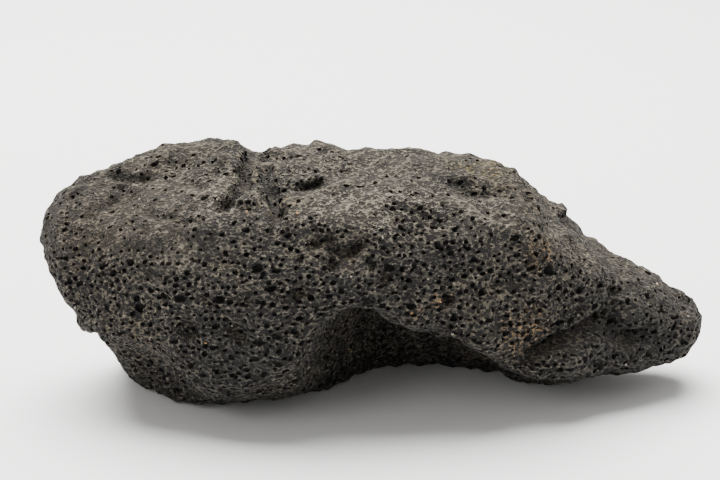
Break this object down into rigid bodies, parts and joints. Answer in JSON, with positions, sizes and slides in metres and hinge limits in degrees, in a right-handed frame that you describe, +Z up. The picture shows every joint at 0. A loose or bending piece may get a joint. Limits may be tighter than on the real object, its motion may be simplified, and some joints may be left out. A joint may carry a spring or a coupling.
{
  "type": "lava rock",
  "caption": "Loose piece of dark vesicular basalt with a blunt end, a low tapered tail, a cleft across its crown and an arched hollow under its front.",
  "frame": {"origin": "bottom centre of the rock's bounding box, on the surface it rests on", "axes": "+Z up; +X along the rock, towards its low tapered tail; +Y from the front, where the hollow opens, to the back"},
  "size_m": [0.2062, 0.087, 0.0808],
  "materials": {
    "basalt": "broken vesicular basalt, dull dark grey, warm grey where weathered"
  },
  "bodies": {
    "root": {"lava_rock": "basalt"}
  },
  "joints": []
}
